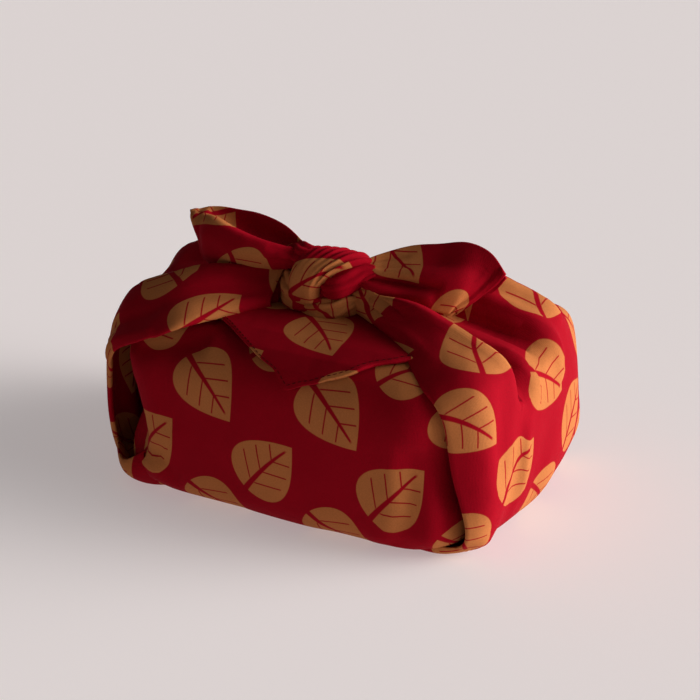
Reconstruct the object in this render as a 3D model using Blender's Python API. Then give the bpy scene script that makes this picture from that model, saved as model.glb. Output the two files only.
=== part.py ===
"""Furoshiki wrap: one square of cloth folded round a parcel and tied on top.

The near corner lies over the top, the far corner folds over it and shows its
tip at the front edge, and the two end corners rise as wings that meet in a
square knot with two free ears. It is all one cloth, so it is one solid.
Sizes are in millimetres until the mesh is written, in metres, at the end.
"""
from math import pi

import bmesh
import bpy
import numpy as np

MM = 0.001
NODE = "furoshiki_cloth"

# Driving dimensions, in millimetres
CLOTH = 2.2
HEART_HALVES = (14.0, 8.5, 9.5)
KNOT_CENTRE = (1.0, -12.0, 86.0)
THROAT_X = {"right": 16.0, "left": 19.0}
THROAT_MIDDLE_Y = -10.5

# How finely each form is divided
CORNER_POINTS = 6
SIDE_POINTS = 3
WING_STATIONS = 25
WING_POINTS_PER_RIB = 2
STRAND_STATIONS = 26
STRAND_POINTS = 12
EAR_STATIONS = 12
EAR_POINTS = 8
FLAP_STATIONS = 16
FLAP_POINTS = 10

# The wrapped body, from the floor up: level, half length, half width, corner radius
BODY = np.array([
    (0.0, 60.0, 44.0, 26.0),
    (1.2, 66.0, 50.0, 26.0),
    (4.0, 71.5, 55.0, 26.0),
    (10.0, 75.5, 59.5, 25.0),
    (20.0, 74.5, 61.5, 24.0),
    (32.0, 71.0, 62.5, 23.0),
    (44.0, 71.0, 62.3, 22.0),
    (53.0, 73.5, 61.3, 22.0),
    (60.0, 74.5, 59.3, 22.0),
    (65.5, 72.0, 55.8, 21.0),
    (69.5, 67.5, 50.5, 20.0),
    (72.5, 59.0, 42.0, 19.0),
    (74.5, 45.0, 28.0, 14.0),
    (75.4, 24.0, 10.0, 5.0),
])
# Row of the body above which its skin turns over onto the top
TURN_ROW = 6

# Wing ribs from the front fold to the rear fold. A rib runs from under the end,
# up the wall, over the shoulder and along the top to the knot.
RIB_COLUMNS = ("foot_x", "foot_y", "inset", "low", "belly", "lean", "shoulder_z",
               "shoulder_bend", "half_z", "half_bend", "throat_y", "throat_z")
RIGHT_RIBS = {
    "front fold": (74, -56, 16, 7, 1, 0, 64, 0, 76, 0, -21, 81),
    "front face": (82, -46, 19, 0, 4, 0, 70, 0, 79, 0, -19, 86),
    "sash ridge": (85, -28, 22, -2, 4, 0, 73, -2, 86, -4, -15.5, 90.5),
    "sash step": (86, -19, 23, -3, 4, 0, 71, 0, 80, -3, -12, 90),
    "rear face": (87, 0, 24, -3, 4, 0, 74, 0, 82, 0, -9, 90),
    "rear ridge": (87, 17, 24, -3, 4, 0, 79, 0, 88, 4, -6, 89),
    "rear dip": (85, 32, 22, -3, 4, 0, 75, 0, 83, 4, -4, 87),
    "rear fold": (77, 54, 17, 4, 2, 0, 67, 0, 77, 0, -2, 83),
}
LEFT_RIBS = {
    "front fold": (82, -51, 14, 1, 1, 5, 60, -11, 78, -14, -22, 81),
    "front face": (84, -43, 16, 1, 2, 4, 69, -8, 81, -10, -20, 85),
    "band ridge": (85, -30, 20, -2, 3, 1, 75, -5, 86, -3, -15, 90),
    "band step": (86, -18, 23, -3, 4, 1, 71, 0, 82, 1, -12.5, 89.5),
    "rear face": (87, 0, 24, -3, 4, 0, 75, 0, 83, 2, -9.5, 89.5),
    "rear hump": (86, 20, 24, -3, 4, 0, 78, 2, 87, 6, -6, 89),
    "rear dip": (84, 34, 22, -3, 4, 0, 73, 0, 80, 4, -4, 87),
    "rear fold": (77, 54, 17, 4, 2, 0, 67, 0, 77, 0, -2, 83),
}

# Strands through the knot, from its centre: x, y, z, half width, half thickness
LEFT_STRAND = [
    (-26, -2, -3, 6.0, 3.0),
    (-14, -3, -3, 7.0, 4.4),
    (-2, -4, -5, 7.0, 4.6),
    (8, -7, -6, 6.5, 4.4),
    (13, -8, 1, 7.0, 4.2),
    (9, -5, 8, 7.5, 4.2),
    (0, 1, 8, 7.5, 4.6),
    (-10, 2, 7, 6.5, 4.6),
    (-19, 1, 8, 4.5, 3.6),
]
RIGHT_STRAND = [
    (23, -4, -4, 6.0, 3.0),
    (12, -2, -4, 7.0, 4.4),
    (2, 0, -8, 6.5, 4.6),
    (-7, -4, -10, 7.0, 4.2),
    (-10, -12, -4, 8.5, 4.0),
    (-8, -11, 5, 9.0, 4.0),
    (-3, -3, 9, 9.0, 4.2),
    (6, 3, 7, 7.0, 4.6),
    (16, 3, 7, 4.5, 3.6),
]

# Ears from the knot to the tip: rear edge, trough and front edge of each station
LEFT_EAR = [
    ((-15, -5, 97), (-16, -11, 93), (-16, -15, 91)),
    ((-29, -1, 104), (-30, -10, 94), (-29, -19, 90)),
    ((-44, -1, 107), (-45, -9, 95), (-42, -22, 87)),
    ((-57, -5, 106), (-58, -10, 98), (-56, -20, 89)),
    ((-67, -9, 104), (-67, -10, 103), (-67, -11, 102)),
]
RIGHT_EAR = [
    ((15, -4, 96), (16, -9, 94), (16, -14, 88)),
    ((29, 3, 101), (30, -5, 97), (29, -15, 84)),
    ((43, 5, 104), (46, -4, 98), (44, -14, 84)),
    ((58, 3, 103), (60, -4, 97), (58, -10, 86)),
    ((69, 1, 97), (69, 0, 96), (69, -1, 95)),
]

# The far corner over the top, from its tip: left x, left y, right x, right y, lift
FLAP = [
    (7.2, -61.6, 9.0, -61.6, 3.0),
    (0.0, -58.0, 15.0, -60.5, 3.0),
    (-10.0, -53.8, 22.0, -58.5, 3.0),
    (-19.0, -48.5, 32.0, -54.0, 3.0),
    (-28.5, -42.5, 39.0, -48.0, 3.0),
    (-38.0, -36.0, 48.5, -42.0, 3.0),
    (-54.0, -22.0, 60.0, -27.0, 3.0),
    (-62.0, 0.0, 64.0, 0.0, 3.0),
    (-62.0, 28.0, 62.0, 28.0, 3.0),
    (-58.0, 46.0, 58.0, 46.0, 2.4),
    (-54.0, 55.0, 54.0, 55.0, 1.2),
    (-50.0, 59.0, 50.0, 59.0, 0.4),
]
# Beside the near corner's hems the top is open: plan corners of each gap
TOP_GAPS = [
    ((-12, 40), (-54, 40), (-54, 0)),
    ((12, 40), (54, 0), (54, 40)),
]
GAP_LEVELS = (60.0, 90.0)


def spline_spans(points, count, closed):
    """Neighbours and fractions for count samples along a row of points"""
    p = np.asarray(points, float)
    if closed:
        padded = np.concatenate([p[-1:], p, p[:2]])
    else:
        padded = np.concatenate([2*p[:1]-p[1:2], p, 2*p[-1:]-p[-2:-1]])
    spans = len(padded)-3
    t = np.linspace(0, spans, count, endpoint=not closed)
    i = np.minimum(t.astype(int), spans-1)
    f = (t-i).reshape((-1,)+(1,)*(p.ndim-1))
    return padded[i], padded[i+1], padded[i+2], padded[i+3], f


def soft_curve(points, count):
    """Cubic B-spline that rounds its points off"""
    a, b, c, d, f = spline_spans(points, count, False)
    return ((1-f)**3*a+(3*f**3-6*f**2+4)*b+(-3*f**3+3*f**2+3*f+1)*c+f**3*d)/6


def curve_through(points, count, closed=False):
    """Smooth curve through its points"""
    a, b, c, d, f = spline_spans(points, count, closed)
    return 0.5*(2*b+(c-a)*f+(2*a-5*b+4*c-d)*f**2+(3*b-a-3*c+d)*f**3)


def outline(half_length, half_width, radius):
    """Plan of one level of the body: a rectangle with round corners"""
    cx, cy = half_length-radius, half_width-radius
    centres = [(cx, cy), (-cx, cy), (-cx, -cy), (cx, -cy)]
    plan = []
    for k, (x, y) in enumerate(centres):
        turn = np.linspace(pi/2*k, pi/2*(k+1), CORNER_POINTS)
        plan.append(np.stack([x+radius*np.cos(turn), y+radius*np.sin(turn)], 1))
        start = plan[-1][-1]
        end = np.array(centres[(k+1) % 4])+radius*np.array([np.cos(turn[-1]), np.sin(turn[-1])])
        share = np.linspace(0, 1, SIDE_POINTS+2)[1:-1, None]
        plan.append(start+(end-start)*share)
    return np.concatenate(plan)


def offset_rows(rows, distance):
    """The body's rows moved out along the skin by distance"""
    level, length, width, radius = rows.T
    rise, spread = np.gradient(level), np.gradient(width)
    slope = np.hypot(rise, spread)
    out, up = rise/slope*distance, -spread/slope*distance
    return np.stack([level+up, length+out, width+out, np.maximum(radius+out, 2.0)], 1)


def distance_outside(x, y, row):
    """How far plan points lie outside one level of the body"""
    _, length, width, radius = row
    qx, qy = np.abs(x)-(length-radius), np.abs(y)-(width-radius)
    inside = np.minimum(np.maximum(qx, qy), 0)
    return np.hypot(np.maximum(qx, 0), np.maximum(qy, 0))+inside-radius


def top_height(x, y, lift):
    """Height of the body's top over plan points, lifted off its skin"""
    rows = offset_rows(BODY, lift)[TURN_ROW:]
    height = np.full(np.shape(x), rows[-1][0])
    found = np.zeros(np.shape(x), bool)
    for lower, upper in zip(rows[:-1], rows[1:]):
        d0, d1 = distance_outside(x, y, lower), distance_outside(x, y, upper)
        crossed = ~found & (d1 > 0)
        share = np.where(crossed, -d0/np.maximum(d1-d0, 1e-6), 0)
        height = np.where(crossed, lower[0]+(upper[0]-lower[0])*share, height)
        found |= crossed
    return height


def body_rings(rows):
    return [np.column_stack([outline(*row[1:]), np.full(4*(CORNER_POINTS+SIDE_POINTS), row[0])])
            for row in rows]


def rib_controls(side, throat_x, rib, inner):
    """Control points of one rib, or of the layer that lies inner under it"""
    r = dict(zip(RIB_COLUMNS, rib))
    foot = np.array([side*r["foot_x"], r["foot_y"]], float)
    throat = np.array([side*throat_x, r["throat_y"]], float)
    away = foot-throat
    reach = np.linalg.norm(away)
    away /= reach
    across = np.array([-away[1], away[0]])*side
    t = inner
    shoulder = r["shoulder_z"]
    squeeze = (THROAT_MIDDLE_Y-r["throat_y"])*0.3*t/CLOTH
    # distance from the knot, height, sideways bend, pull towards the throat's middle
    stations = [
        (reach-r["inset"]-16, 0.3+t*0.75, 0, 0),
        (reach-r["inset"]*0.75, 0.6+t*0.9, 0, 0),
        (reach-r["inset"]*0.25+r["low"]*0.6-t*0.5, 5+t*0.5, 0, 0),
        (reach+r["low"]+r["belly"]*0.4-t, 13, 0, 0),
        (reach+r["low"]*0.5+r["belly"]-t, 26, 0, 0),
        (reach+r["belly"]-r["lean"]*0.3-t, 0.62*shoulder, 0, 0),
        (reach+2-r["lean"]-t, shoulder+1-t*0.6, r["shoulder_bend"]*0.5, 0),
        (reach-16, shoulder+5-t, r["shoulder_bend"], 0),
        (reach*0.52, r["half_z"]-t, r["half_bend"], 0),
        (reach*0.24, (r["half_z"]+2*r["throat_z"])/3-t*1.4, r["half_bend"]*0.4, squeeze*0.6),
        (0, r["throat_z"]-t*2.0, 0, squeeze),
    ]
    return [np.append(throat+away*d+across*bend, z)+(0, pull, 0) for d, z, bend, pull in stations]


def wing_rings(side, throat_x, ribs):
    """Closed sections of a wing from the floor to the knot"""
    outer = [rib_controls(side, throat_x, rib, 0.0) for rib in ribs.values()]
    inner = [rib_controls(side, throat_x, rib, CLOTH) for rib in reversed(ribs.values())]
    controls = np.array(outer+inner)
    controls = curve_through(controls, len(controls)*WING_POINTS_PER_RIB, closed=True)
    grid = np.array([soft_curve(c, WING_STATIONS) for c in controls])
    return grid.transpose(1, 0, 2)


def strand_rings(path):
    """Oval sections of one strand, flat side away from the knot's centre"""
    centre = np.array(KNOT_CENTRE)
    p = curve_through(path, STRAND_STATIONS)
    line = p[:, :3]+centre
    along = np.gradient(line, axis=0)
    along /= np.linalg.norm(along, axis=1)[:, None]
    out = line-centre
    for _ in range(30):
        out = out-(out*along).sum(1)[:, None]*along
        out /= np.linalg.norm(out, axis=1)[:, None]
        out[1:-1] = (out[:-2]+2*out[1:-1]+out[2:])/4
    out = out-(out*along).sum(1)[:, None]*along
    out /= np.linalg.norm(out, axis=1)[:, None]
    across = np.cross(along, out)
    turn = np.linspace(0, 2*pi, STRAND_POINTS, endpoint=False)[None, :, None]
    return (line[:, None]+np.cos(turn)*(across*p[:, 3:4])[:, None]
            + np.sin(turn)*(out*p[:, 4:5])[:, None])


def sheet_normals(grid):
    n = np.cross(np.gradient(grid, axis=0), np.gradient(grid, axis=1))
    return n/np.maximum(np.linalg.norm(n, axis=2, keepdims=True), 1e-9)


def sheet_rings(upper, lower):
    """Closed sections round a sheet given by its two faces"""
    return np.concatenate([upper, lower[:, ::-1]], axis=1)


def ear_rings(stations):
    rows = curve_through(np.array(stations, float), EAR_STATIONS)
    grid = np.array([curve_through(row, EAR_POINTS) for row in rows])
    half = sheet_normals(grid)*CLOTH/2
    return sheet_rings(grid+half, grid-half)


def flap_rings():
    rows = curve_through(np.array(FLAP), FLAP_STATIONS)
    share = np.linspace(0, 1, FLAP_POINTS)
    upper, lower = [], []
    for left_x, left_y, right_x, right_y, lift in rows:
        x, y = left_x+(right_x-left_x)*share, left_y+(right_y-left_y)*share
        upper.append(np.stack([x, y, top_height(x, y, lift)], 1))
        lower.append(np.stack([x, y, top_height(x, y, lift-CLOTH)], 1))
    return sheet_rings(np.array(upper), np.array(lower))


def loft(name, rings, collection):
    """Skin closed sections into a solid with flat ends"""
    bm = bmesh.new()
    rows = [[bm.verts.new(p*MM) for p in ring] for ring in rings]
    count = len(rows[0])
    for a, b in zip(rows[:-1], rows[1:]):
        for k in range(count):
            n = (k+1) % count
            bm.faces.new((a[k], a[n], b[n], b[k]))
    for cap in (rows[0], rows[-1]):
        bm.faces.new(cap)
    bmesh.ops.triangulate(bm, faces=bm.faces[:])
    bmesh.ops.recalc_face_normals(bm, faces=bm.faces[:])
    return mesh_object(name, bm, collection)


def heart(collection):
    """Cloth squeezed together in the middle of the knot"""
    bm = bmesh.new()
    bmesh.ops.create_uvsphere(bm, u_segments=12, v_segments=8, radius=MM)
    bmesh.ops.scale(bm, verts=bm.verts[:], vec=HEART_HALVES)
    bmesh.ops.translate(bm, verts=bm.verts[:], vec=[c*MM for c in KNOT_CENTRE])
    bmesh.ops.triangulate(bm, faces=bm.faces[:])
    return mesh_object("heart", bm, collection)


def mesh_object(name, bm, collection):
    mesh = bpy.data.meshes.new(name)
    bm.to_mesh(mesh)
    bm.free()
    obj = bpy.data.objects.new(name, mesh)
    collection.objects.link(obj)
    return obj


def gap_cutter(name, corners, collection):
    """Upright prism over one open triangle of the top"""
    low, high = GAP_LEVELS
    rings = [np.array([(x, y, z) for x, y in corners]) for z in (low, high)]
    return loft(name, rings, collection)


def combine(base, tool, operation):
    """Apply a Boolean between two closed solids and remove the tool"""
    step = base.modifiers.new(operation.lower(), "BOOLEAN")
    step.operation = operation
    # The exact solver leaves torn edges where the thin folds cross, this one none
    step.solver = "MANIFOLD"
    step.object = tool
    graph = bpy.context.evaluated_depsgraph_get()
    mesh = bpy.data.meshes.new_from_object(base.evaluated_get(graph))
    base.modifiers.clear()
    base.data = mesh
    bpy.data.objects.remove(tool)


def keep_largest_skin(bm):
    """Fill the small folds that closed on themselves: only the main skin stays"""
    unseen = set(bm.verts)
    skins = []
    while unseen:
        skin, front = set(), [unseen.pop()]
        while front:
            v = front.pop()
            skin.add(v)
            for e in v.link_edges:
                w = e.other_vert(v)
                if w in unseen:
                    unseen.remove(w)
                    front.append(w)
        skins.append(skin)
    skins.sort(key=len, reverse=True)
    for skin in skins[1:]:
        bmesh.ops.delete(bm, geom=list(skin), context="VERTS")
    return len(skins)


def centre_on_floor(bm):
    """Put the origin under the middle of the whole cloth"""
    points = np.array([v.co for v in bm.verts])
    middle = (points.min(0)+points.max(0))/2
    bmesh.ops.translate(bm, verts=bm.verts[:], vec=(-middle[0], -middle[1], -points[:, 2].min()))
    return middle


def cloth_material():
    material = bpy.data.materials.new("crimson_cotton")
    material.use_nodes = True
    shader = material.node_tree.nodes["Principled BSDF"]
    shader.inputs["Base Color"].default_value = (0.36, 0.005, 0.02, 1.0)
    shader.inputs["Roughness"].default_value = 0.85
    shader.inputs["Metallic"].default_value = 0.0
    return material


def make_collection(name):
    collection = bpy.data.collections.new(name)
    bpy.context.scene.collection.children.link(collection)
    return collection


def build():
    for obj in list(bpy.data.objects):
        bpy.data.objects.remove(obj)
    parts = make_collection("furoshiki_wrap")
    tools = make_collection("cutters")

    cloth = loft(NODE, body_rings(BODY), parts)
    combine(cloth, loft("hollow", body_rings(offset_rows(BODY, -CLOTH)), tools), "DIFFERENCE")
    for k, corners in enumerate(TOP_GAPS):
        combine(cloth, gap_cutter("top_gap_%d" % k, corners, tools), "DIFFERENCE")

    combine(cloth, loft("flap", flap_rings(), parts), "UNION")
    wings = (("right", 1, RIGHT_RIBS), ("left", -1, LEFT_RIBS))
    for name, side, ribs in wings:
        combine(cloth, loft(name, wing_rings(side, THROAT_X[name], ribs), parts), "UNION")
    for path in (LEFT_STRAND, RIGHT_STRAND):
        combine(cloth, loft("strand", strand_rings(path), parts), "UNION")
    combine(cloth, heart(parts), "UNION")
    for stations in (LEFT_EAR, RIGHT_EAR):
        combine(cloth, loft("ear", ear_rings(stations), parts), "UNION")

    bm = bmesh.new()
    bm.from_mesh(cloth.data)
    bmesh.ops.remove_doubles(bm, verts=bm.verts[:], dist=0.00001)
    skins = keep_largest_skin(bm)
    middle = centre_on_floor(bm)
    bmesh.ops.triangulate(bm, faces=bm.faces[:])
    bm.to_mesh(cloth.data)
    print("skins", skins, "triangles", len(bm.faces), "centre moved by mm", middle/MM)
    bm.free()
    cloth.data.materials.clear()
    cloth.data.materials.append(cloth_material())
    cloth.data.shade_smooth()


build()
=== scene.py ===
# %% [markdown]
# # A furoshiki wrap in Blender
#
# A furoshiki is one square of cotton. Here it is folded round a low parcel and tied
# on top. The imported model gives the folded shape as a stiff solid. This lesson
# builds the thin cloth that takes its place: the wrapped body, the folded tip, the
# two wings that rise over the ends, the square knot and its two ears.

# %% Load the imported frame
from math import cos, pi, radians, sin

import bmesh
import bpy
import numpy as np
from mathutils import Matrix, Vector


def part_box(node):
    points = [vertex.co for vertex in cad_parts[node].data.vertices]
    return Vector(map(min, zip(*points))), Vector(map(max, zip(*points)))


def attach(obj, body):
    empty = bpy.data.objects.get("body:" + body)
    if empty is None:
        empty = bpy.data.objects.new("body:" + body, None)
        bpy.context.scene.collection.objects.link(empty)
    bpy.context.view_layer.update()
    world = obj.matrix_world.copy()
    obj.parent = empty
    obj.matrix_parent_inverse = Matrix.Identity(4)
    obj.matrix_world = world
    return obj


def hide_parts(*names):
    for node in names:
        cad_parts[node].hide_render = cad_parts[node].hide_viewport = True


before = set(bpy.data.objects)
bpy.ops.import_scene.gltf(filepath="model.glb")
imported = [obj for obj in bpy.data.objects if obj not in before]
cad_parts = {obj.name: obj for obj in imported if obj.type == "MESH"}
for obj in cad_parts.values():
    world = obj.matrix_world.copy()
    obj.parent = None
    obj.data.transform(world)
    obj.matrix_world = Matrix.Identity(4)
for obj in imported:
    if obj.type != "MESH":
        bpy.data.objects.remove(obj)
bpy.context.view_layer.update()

MM = 0.001
NODE = "furoshiki_cloth"
low, high = [np.array(corner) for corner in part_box(NODE)]
print("solid is %.1f x %.1f x %.1f mm" % tuple((high-low)/MM))

# %% [markdown]
# ## Curves that behave like cloth
#
# Cloth has no straight runs. Every outline in this lesson is a short list of sizes
# that a spline turns into a smooth line. A B-spline rounds its points off, which
# suits a sheet going over an edge. A Catmull-Rom curve goes through its points,
# which suits a hem whose place was measured.

# %% Splines
def spline_spans(points, count, closed):
    """Neighbours and fractions for count samples along a row of points"""
    p = np.asarray(points, float)
    if closed:
        padded = np.concatenate([p[-1:], p, p[:2]])
    else:
        padded = np.concatenate([2*p[:1]-p[1:2], p, 2*p[-1:]-p[-2:-1]])
    spans = len(padded)-3
    t = np.linspace(0, spans, count)
    i = np.minimum(t.astype(int), spans-1)
    f = (t-i).reshape((-1,)+(1,)*(p.ndim-1))
    return padded[i], padded[i+1], padded[i+2], padded[i+3], f


def soft_curve(points, count):
    """Cubic B-spline that rounds its points off"""
    a, b, c, d, f = spline_spans(points, count, False)
    return ((1-f)**3*a+(3*f**3-6*f**2+4)*b+(-3*f**3+3*f**2+3*f+1)*c+f**3*d)/6


def curve_through(points, count, closed=False):
    """Smooth curve through its points; a closed one repeats its first point at the end"""
    a, b, c, d, f = spline_spans(points, count, closed)
    return 0.5*(2*b+(c-a)*f+(2*a-5*b+4*c-d)*f**2+(3*b-a-3*c+d)*f**3)


# %% [markdown]
# ## A sheet is a grid of points
#
# Each stretch of cloth is a grid: rows run along it and columns across it. Its
# normals come from the grid's own slopes. Creases are pressed into the grid from a
# list: a short path in the grid's own fractions, with a depth and a width in
# millimetres. A negative depth is a trough, a positive one a ridge.

# %% Grids, normals and creases
def running_total(steps):
    """Sums of a row of steps, starting at 0"""
    return np.concatenate([[0], np.cumsum(steps)])


def lengths_along(grid, axis):
    """Distance walked along one axis of a grid, from its first row or column"""
    step = np.linalg.norm(np.diff(grid, axis=axis), axis=2)
    start = np.zeros_like(step[:1] if axis == 0 else step[:, :1])
    return np.concatenate([start, np.cumsum(step, axis=axis)], axis=axis)


def grid_normals(grid, closed=False):
    """Unit normals of a grid; a closed one's last column repeats its first"""
    along = np.gradient(grid, axis=0)
    if closed:
        padded = np.concatenate([grid[:, -2:-1], grid, grid[:, 1:2]], axis=1)
        across = (padded[:, 2:]-padded[:, :-2])/2
    else:
        across = np.gradient(grid, axis=1)
    n = np.cross(along, across)
    return n/np.maximum(np.linalg.norm(n, axis=2, keepdims=True), 1e-9)


def grid_point(grid, row, column):
    """Point of a grid at two fractions from 0 to 1"""
    i, j = row*(len(grid)-1), column*(grid.shape[1]-1)
    i0, j0 = min(int(i), len(grid)-2), min(int(j), grid.shape[1]-2)
    a, b = i-i0, j-j0
    top = grid[i0, j0]*(1-b)+grid[i0, j0+1]*b
    return top*(1-a)+(grid[i0+1, j0]*(1-b)+grid[i0+1, j0+1]*b)*a


def press(grid, creases, outward, closed=False):
    """Press creases into a grid; outward is the sign that turns its normals out"""
    normals = outward*grid_normals(grid, closed)
    move = np.zeros(grid.shape[:2])
    for path, depth, width in creases:
        fractions = curve_through(path, 40)
        line = np.array([grid_point(grid, r, c) for r, c in fractions])
        fade = np.sin(np.linspace(0, pi, len(line)))**0.5
        distance = np.linalg.norm(grid[:, :, None]-line, axis=3)
        near = distance.argmin(2)
        away = np.take_along_axis(distance, near[:, :, None], 2)[:, :, 0]
        move += depth*fade[near]*np.exp(-(away/width)**2)
    return grid+normals*move[:, :, None]


# %% Cloth collected from its stretches
CLOTH = 0.5
HEM = 1.4
stretches = []


def add_stretch(name, grid, uv, hem=None, closed=False, turn=False):
    """Make one stretch of cloth as a mesh with its print map and hem weights"""
    rows, columns = grid.shape[:2]
    mesh = bpy.data.meshes.new(name)
    index = np.arange(rows*columns).reshape(rows, columns)
    quads = np.stack([index[:-1, :-1], index[:-1, 1:], index[1:, 1:], index[1:, :-1]], 2)
    quads = quads.reshape(-1, 4)
    if turn:
        quads = quads[:, ::-1]
    mesh.from_pydata((grid.reshape(-1, 3)*MM).tolist(), [], quads.tolist())
    layer = mesh.uv_layers.new(name="flat_cloth")
    layer.data.foreach_set("uv", (uv.reshape(-1, 2)[quads.ravel()]*MM).ravel())
    obj = bpy.data.objects.new(name, mesh)
    weights = obj.vertex_groups.new(name="hem")
    hem = np.zeros((rows, columns)) if hem is None else hem
    for k, weight in enumerate(hem.ravel()):
        weights.add([k], float(CLOTH/HEM+(1-CLOTH/HEM)*weight), "REPLACE")
    if closed:
        bm = bmesh.new()
        bm.from_mesh(mesh)
        bmesh.ops.remove_doubles(bm, verts=bm.verts[:], dist=1e-6)
        bm.to_mesh(mesh)
        bm.free()
    bpy.context.scene.collection.objects.link(obj)
    stretches.append(obj)
    print(name, "has", len(mesh.polygons), "faces")
    return obj


# %% [markdown]
# ## The wrapped body
#
# The parcel inside doesn't show, but it shapes the cloth: a low box with soft edges.
# The body is a loft of rounded rectangles from the floor up. Each row of the table
# gives a level, the half length, the half width and the corner radius.

# %% Body levels
BODY = np.array([
    (0.0, 60.0, 44.0, 26.0),
    (1.2, 66.0, 50.0, 26.0),
    (4.0, 71.5, 55.0, 26.0),
    (10.0, 75.5, 59.5, 25.0),
    (20.0, 74.5, 61.5, 24.0),
    (32.0, 71.0, 62.5, 23.0),
    (44.0, 71.0, 62.3, 22.0),
    (53.0, 73.5, 61.3, 22.0),
    (60.0, 74.5, 59.3, 22.0),
    (65.5, 72.0, 55.8, 21.0),
    (69.5, 67.5, 50.5, 20.0),
    (72.5, 59.0, 42.0, 19.0),
    (74.5, 45.0, 28.0, 14.0),
    (75.4, 24.0, 10.0, 5.0),
])
# the underside shrinks to its middle by these shares of the first row
UNDERSIDE = (0.02, 0.35, 0.7)
TOP_MIDDLE = [(75.6, 9.0, 4.0, 2.0), (75.7, 0.4, 0.2, 0.1)]
# the top's skin starts at this row
TURN_ROW = 6
# the right front corner is squarer low down, where the cloth runs into the pocket
SQUARE_CORNER = 0.2
SQUARE_BELOW = 45.0
SQUARE_FADE = 20.0
# the print's map turns from the wall's to the top's over these levels
OVER_FROM = 60.0
OVER_FADE = 12.0
BODY_ROWS = 57
HALF_COLUMNS = 72
CORNER_POINTS = 12


def corner(half_length, half_width, radius):
    """Rounded front left corner, from the end to the front"""
    turn = np.linspace(0, pi/2, CORNER_POINTS)
    return np.stack([-half_length+radius-radius*np.cos(turn),
                     -half_width+radius-radius*np.sin(turn)], 1)


def half_outline(half_length, half_width, radius, right_radius, count):
    """Front half of a rounded rectangle, from the left end's middle to the right's"""
    left = corner(half_length, half_width, radius)
    right = corner(half_length, half_width, right_radius)[::-1]*(-1, 1)
    line = np.concatenate([[(-half_length, 0)], left, right, [(half_length, 0)]])
    walked = running_total(np.linalg.norm(np.diff(line, axis=0), axis=1))
    s = np.linspace(0, walked[-1], count)
    plan = np.stack([np.interp(s, walked, line[:, k]) for k in (0, 1)], 1)
    return plan, s-walked[-1]/2


def body_half(side):
    """Grid and print map of the front half, side -1, or the back half, side 1"""
    sign = 1 if side < 0 else -1
    profile = curve_through(np.concatenate([BODY, TOP_MIDDLE]), BODY_ROWS)
    profile = np.concatenate([[BODY[0]*share for share in UNDERSIDE], profile])
    grid, uv = [], []
    climbed = running_total(np.hypot(np.diff(profile[:, 0]), np.diff(profile[:, 2])))
    for (level, length, width, radius), climb in zip(profile, climbed):
        radius = min(max(radius, 0.05), length-0.02, width-0.02)
        square = SQUARE_CORNER*np.clip((SQUARE_BELOW-level)/SQUARE_FADE, 0, 1)*(side < 0)
        plan, s = half_outline(length, width, radius, radius*(1-square), HALF_COLUMNS)
        grid.append(np.stack([plan[:, 0], plan[:, 1]*sign, np.full(HALF_COLUMNS, level)], 1))
        over = np.clip((level-OVER_FROM)/OVER_FADE, 0, 1)
        u = s*(1-over)+plan[:, 0]*over
        v = climb+(width+plan[:, 1])*over
        uv.append(np.stack([u, v*sign], 1))
    return np.array(grid), np.array(uv)


# %% Creases of the body and both halves
# path in fractions (row, column), depth, half width; row 0 is the underside's middle
FRONT_CREASES = [
    ([(0.55, 0.15), (0.44, 0.19), (0.35, 0.225), (0.27, 0.25)], -7.0, 9.0),
    ([(0.34, 0.29), (0.29, 0.30), (0.24, 0.33)], -2.2, 3.0),
    ([(0.30, 0.265), (0.27, 0.29), (0.27, 0.32)], 1.6, 2.4),
    ([(0.57, 0.24), (0.64, 0.28), (0.67, 0.36)], -4.5, 6.0),
    ([(0.62, 0.32), (0.50, 0.31), (0.38, 0.34)], -1.0, 6.0),
    ([(0.66, 0.50), (0.48, 0.47), (0.30, 0.52)], 0.7, 10.0),
    ([(0.30, 0.60), (0.17, 0.55), (0.13, 0.42)], 0.8, 6.0),
    ([(0.60, 0.66), (0.42, 0.68), (0.25, 0.70)], -1.0, 7.0),
    ([(0.46, 0.745), (0.33, 0.735), (0.20, 0.715)], -3.6, 5.5),
    ([(0.36, 0.70), (0.27, 0.695), (0.17, 0.67)], 1.2, 3.5),
]
BACK_CREASES = [
    ([(0.64, 0.34), (0.46, 0.30), (0.30, 0.33)], -1.4, 6.0),
    ([(0.62, 0.58), (0.44, 0.62), (0.28, 0.58)], -1.0, 8.0),
    ([(0.55, 0.72), (0.35, 0.70), (0.18, 0.74)], -1.4, 6.0),
]
# the back's print runs on into the folded tip's
HALVES = {
    "body_front": (-1, FRONT_CREASES, (0.0, 0.0)),
    "body_back": (1, BACK_CREASES, (17.0, 0.5)),
}
for name, (side, creases, start) in HALVES.items():
    body_grid, body_uv = body_half(side)
    body_grid = press(body_grid, creases, side)
    add_stretch(name, body_grid, body_uv+start, turn=side > 0)

# %% [markdown]
# ## The folded tip
#
# The far corner comes over the top and its tip hangs just over the front edge. It
# is a sheet laid on the body's top: for every point the height is found from the
# body's own levels, then lifted a little. Its two cut edges carry a narrow hem.

# %% Height of the body's top
def offset_rows(rows, distance):
    """The body's rows moved out along the skin by distance"""
    level, length, width, radius = rows.T
    rise, spread = np.gradient(level), np.gradient(width)
    slope = np.hypot(rise, spread)
    out, up = rise/slope*distance, -spread/slope*distance
    return np.stack([level+up, length+out, width+out, np.maximum(radius+out, 2.0)], 1)


def distance_outside(x, y, row):
    """How far plan points lie outside one level of the body"""
    _, length, width, radius = row
    qx, qy = np.abs(x)-(length-radius), np.abs(y)-(width-radius)
    inside = np.minimum(np.maximum(qx, qy), 0)
    return np.hypot(np.maximum(qx, 0), np.maximum(qy, 0))+inside-radius


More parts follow.
